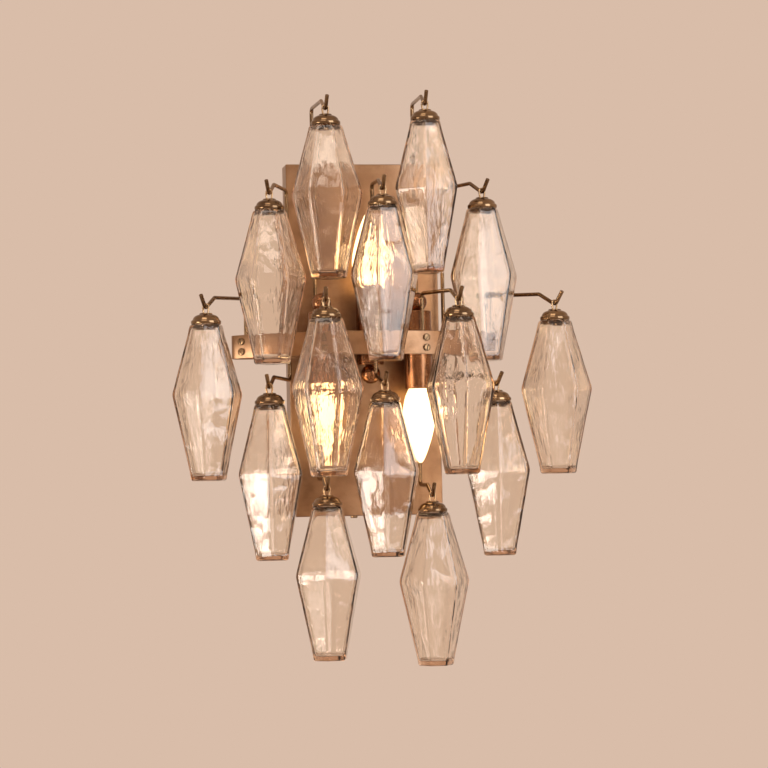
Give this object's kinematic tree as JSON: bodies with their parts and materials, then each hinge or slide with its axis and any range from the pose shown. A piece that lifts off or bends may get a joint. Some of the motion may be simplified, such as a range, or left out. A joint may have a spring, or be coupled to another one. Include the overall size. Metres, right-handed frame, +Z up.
{
  "type": "wall sconce",
  "caption": "Brass wall sconce whose bent rods fan out from a bowed band, carrying hollow six-sided tinted glass drops that swing round hidden candle lamps.",
  "frame": {"origin": "centre of the back face, in the plane of the wall that the sconce is screwed to", "axes": "+X to the right seen from the room, +Y into the wall, +Z up; the sconce stands out of the wall towards -Y"},
  "size_m": [0.4267, 0.2367, 0.5817],
  "materials": {
    "satin_brass": "satin, lightly aged",
    "polished_brass": "polished, lightly aged",
    "brass_screws": "turned",
    "zinc_steel": "zinc plated",
    "holder_plastic": "matt",
    "lead_sleeving": "matt sleeving",
    "frosted_glass": "frosted, lit warm white",
    "amber_glass": "clear, light amber tint"
  },
  "bodies": {
    "sconce": {"back_box": "satin_brass", "wall_bracket": "zinc_steel", "cover_screws": "brass_screws", "terminal_block": "holder_plastic", "band": "satin_brass", "spacers": "satin_brass", "band_screws": "brass_screws", "band_nuts": "brass_screws", "rod_screws": "brass_screws", "lamp_bar": "satin_brass", "sleeve_screws": "brass_screws", "sleeves": "polished_brass", "ball_finials": "polished_brass", "lampholders": "holder_plastic", "lamp_leads": "lead_sleeving", "bulb_bases": "brass_screws", "bulbs": "frosted_glass", "rod_inner_left": "satin_brass", "rod_inner_right": "satin_brass", "rod_side_left": "satin_brass", "rod_side_right": "satin_brass", "rod_centre": "satin_brass", "rod_outer_left": "satin_brass", "rod_outer_right": "satin_brass", "rod_front_left": "satin_brass", "rod_front_right": "satin_brass"},
    "drop_01": {"glass_drop_01": "amber_glass", "drop_cap_01": "satin_brass"},
    "drop_02": {"glass_drop_02": "amber_glass", "drop_cap_02": "satin_brass"},
    "drop_03": {"glass_drop_03": "amber_glass", "drop_cap_03": "satin_brass"},
    "drop_04": {"glass_drop_04": "amber_glass", "drop_cap_04": "satin_brass"},
    "drop_05": {"glass_drop_05": "amber_glass", "drop_cap_05": "satin_brass"},
    "drop_06": {"glass_drop_06": "amber_glass", "drop_cap_06": "satin_brass"},
    "drop_07": {"glass_drop_07": "amber_glass", "drop_cap_07": "satin_brass"},
    "drop_08": {"glass_drop_08": "amber_glass", "drop_cap_08": "satin_brass"},
    "drop_09": {"glass_drop_09": "amber_glass", "drop_cap_09": "satin_brass"},
    "drop_10": {"glass_drop_10": "amber_glass", "drop_cap_10": "satin_brass"},
    "drop_11": {"glass_drop_11": "amber_glass", "drop_cap_11": "satin_brass"},
    "drop_12": {"glass_drop_12": "amber_glass", "drop_cap_12": "satin_brass"},
    "drop_13": {"glass_drop_13": "amber_glass", "drop_cap_13": "satin_brass"},
    "drop_14": {"glass_drop_14": "amber_glass", "drop_cap_14": "satin_brass"}
  },
  "joints": [
    {"name": "swing_01", "type": "hinge", "parent": "sconce", "child": "drop_01", "pos_m": [-0.051, -0.124, 0.227], "axis": [0.0242, -0.9997, 0], "range_deg": [-1.5, 3]},
    {"name": "swing_02", "type": "hinge", "parent": "sconce", "child": "drop_02", "pos_m": [0.051, -0.124, 0.232], "axis": [-0.0242, -0.9997, 0], "range_deg": [-5, 1.5]},
    {"name": "swing_03", "type": "hinge", "parent": "sconce", "child": "drop_03", "pos_m": [-0.109, -0.119, 0.142], "axis": [-0.3393, -0.9407, 0], "range_deg": [-8, 3]},
    {"name": "swing_04", "type": "hinge", "parent": "sconce", "child": "drop_04", "pos_m": [0, -0.157, 0.142], "axis": [0, -1, 0], "range_deg": [-5, 9]},
    {"name": "swing_05", "type": "hinge", "parent": "sconce", "child": "drop_05", "pos_m": [0.109, -0.119, 0.143], "axis": [0.3393, -0.9407, 0], "range_deg": [-3.5, 8]},
    {"name": "swing_06", "type": "hinge", "parent": "sconce", "child": "drop_06", "pos_m": [-0.17705, -0.139, 0.026], "axis": [-0.4808, -0.8768, 0], "range_deg": [-15, 3]},
    {"name": "swing_07", "type": "hinge", "parent": "sconce", "child": "drop_07", "pos_m": [-0.066, -0.2, 0.027], "axis": [-0.1345, -0.9909, 0], "range_deg": [-15, 15]},
    {"name": "swing_08", "type": "hinge", "parent": "sconce", "child": "drop_08", "pos_m": [0.066, -0.2, 0.027], "axis": [0.1345, -0.9909, 0], "range_deg": [-15, 15]},
    {"name": "swing_09", "type": "hinge", "parent": "sconce", "child": "drop_09", "pos_m": [0.17705, -0.139, 0.027], "axis": [0.4808, -0.8768, 0], "range_deg": [-4, 15]},
    {"name": "swing_10", "type": "hinge", "parent": "sconce", "child": "drop_10", "pos_m": [-0.115, -0.138, -0.054], "axis": [-0.3319, -0.9433, 0], "range_deg": [-6, 15]},
    {"name": "swing_11", "type": "hinge", "parent": "sconce", "child": "drop_11", "pos_m": [0, -0.146, -0.053], "axis": [0, -1, 0], "range_deg": [-15, 15]},
    {"name": "swing_12", "type": "hinge", "parent": "sconce", "child": "drop_12", "pos_m": [0.115, -0.138, -0.054], "axis": [0.3319, -0.9433, 0], "range_deg": [-15, 6]},
    {"name": "swing_13", "type": "hinge", "parent": "sconce", "child": "drop_13", "pos_m": [-0.054, -0.102, -0.156], "axis": [-0.0165, -0.9999, 0], "range_deg": [-15, 15]},
    {"name": "swing_14", "type": "hinge", "parent": "sconce", "child": "drop_14", "pos_m": [0.054, -0.102, -0.164], "axis": [0.0165, -0.9999, 0], "range_deg": [-15, 15]}
  ]
}
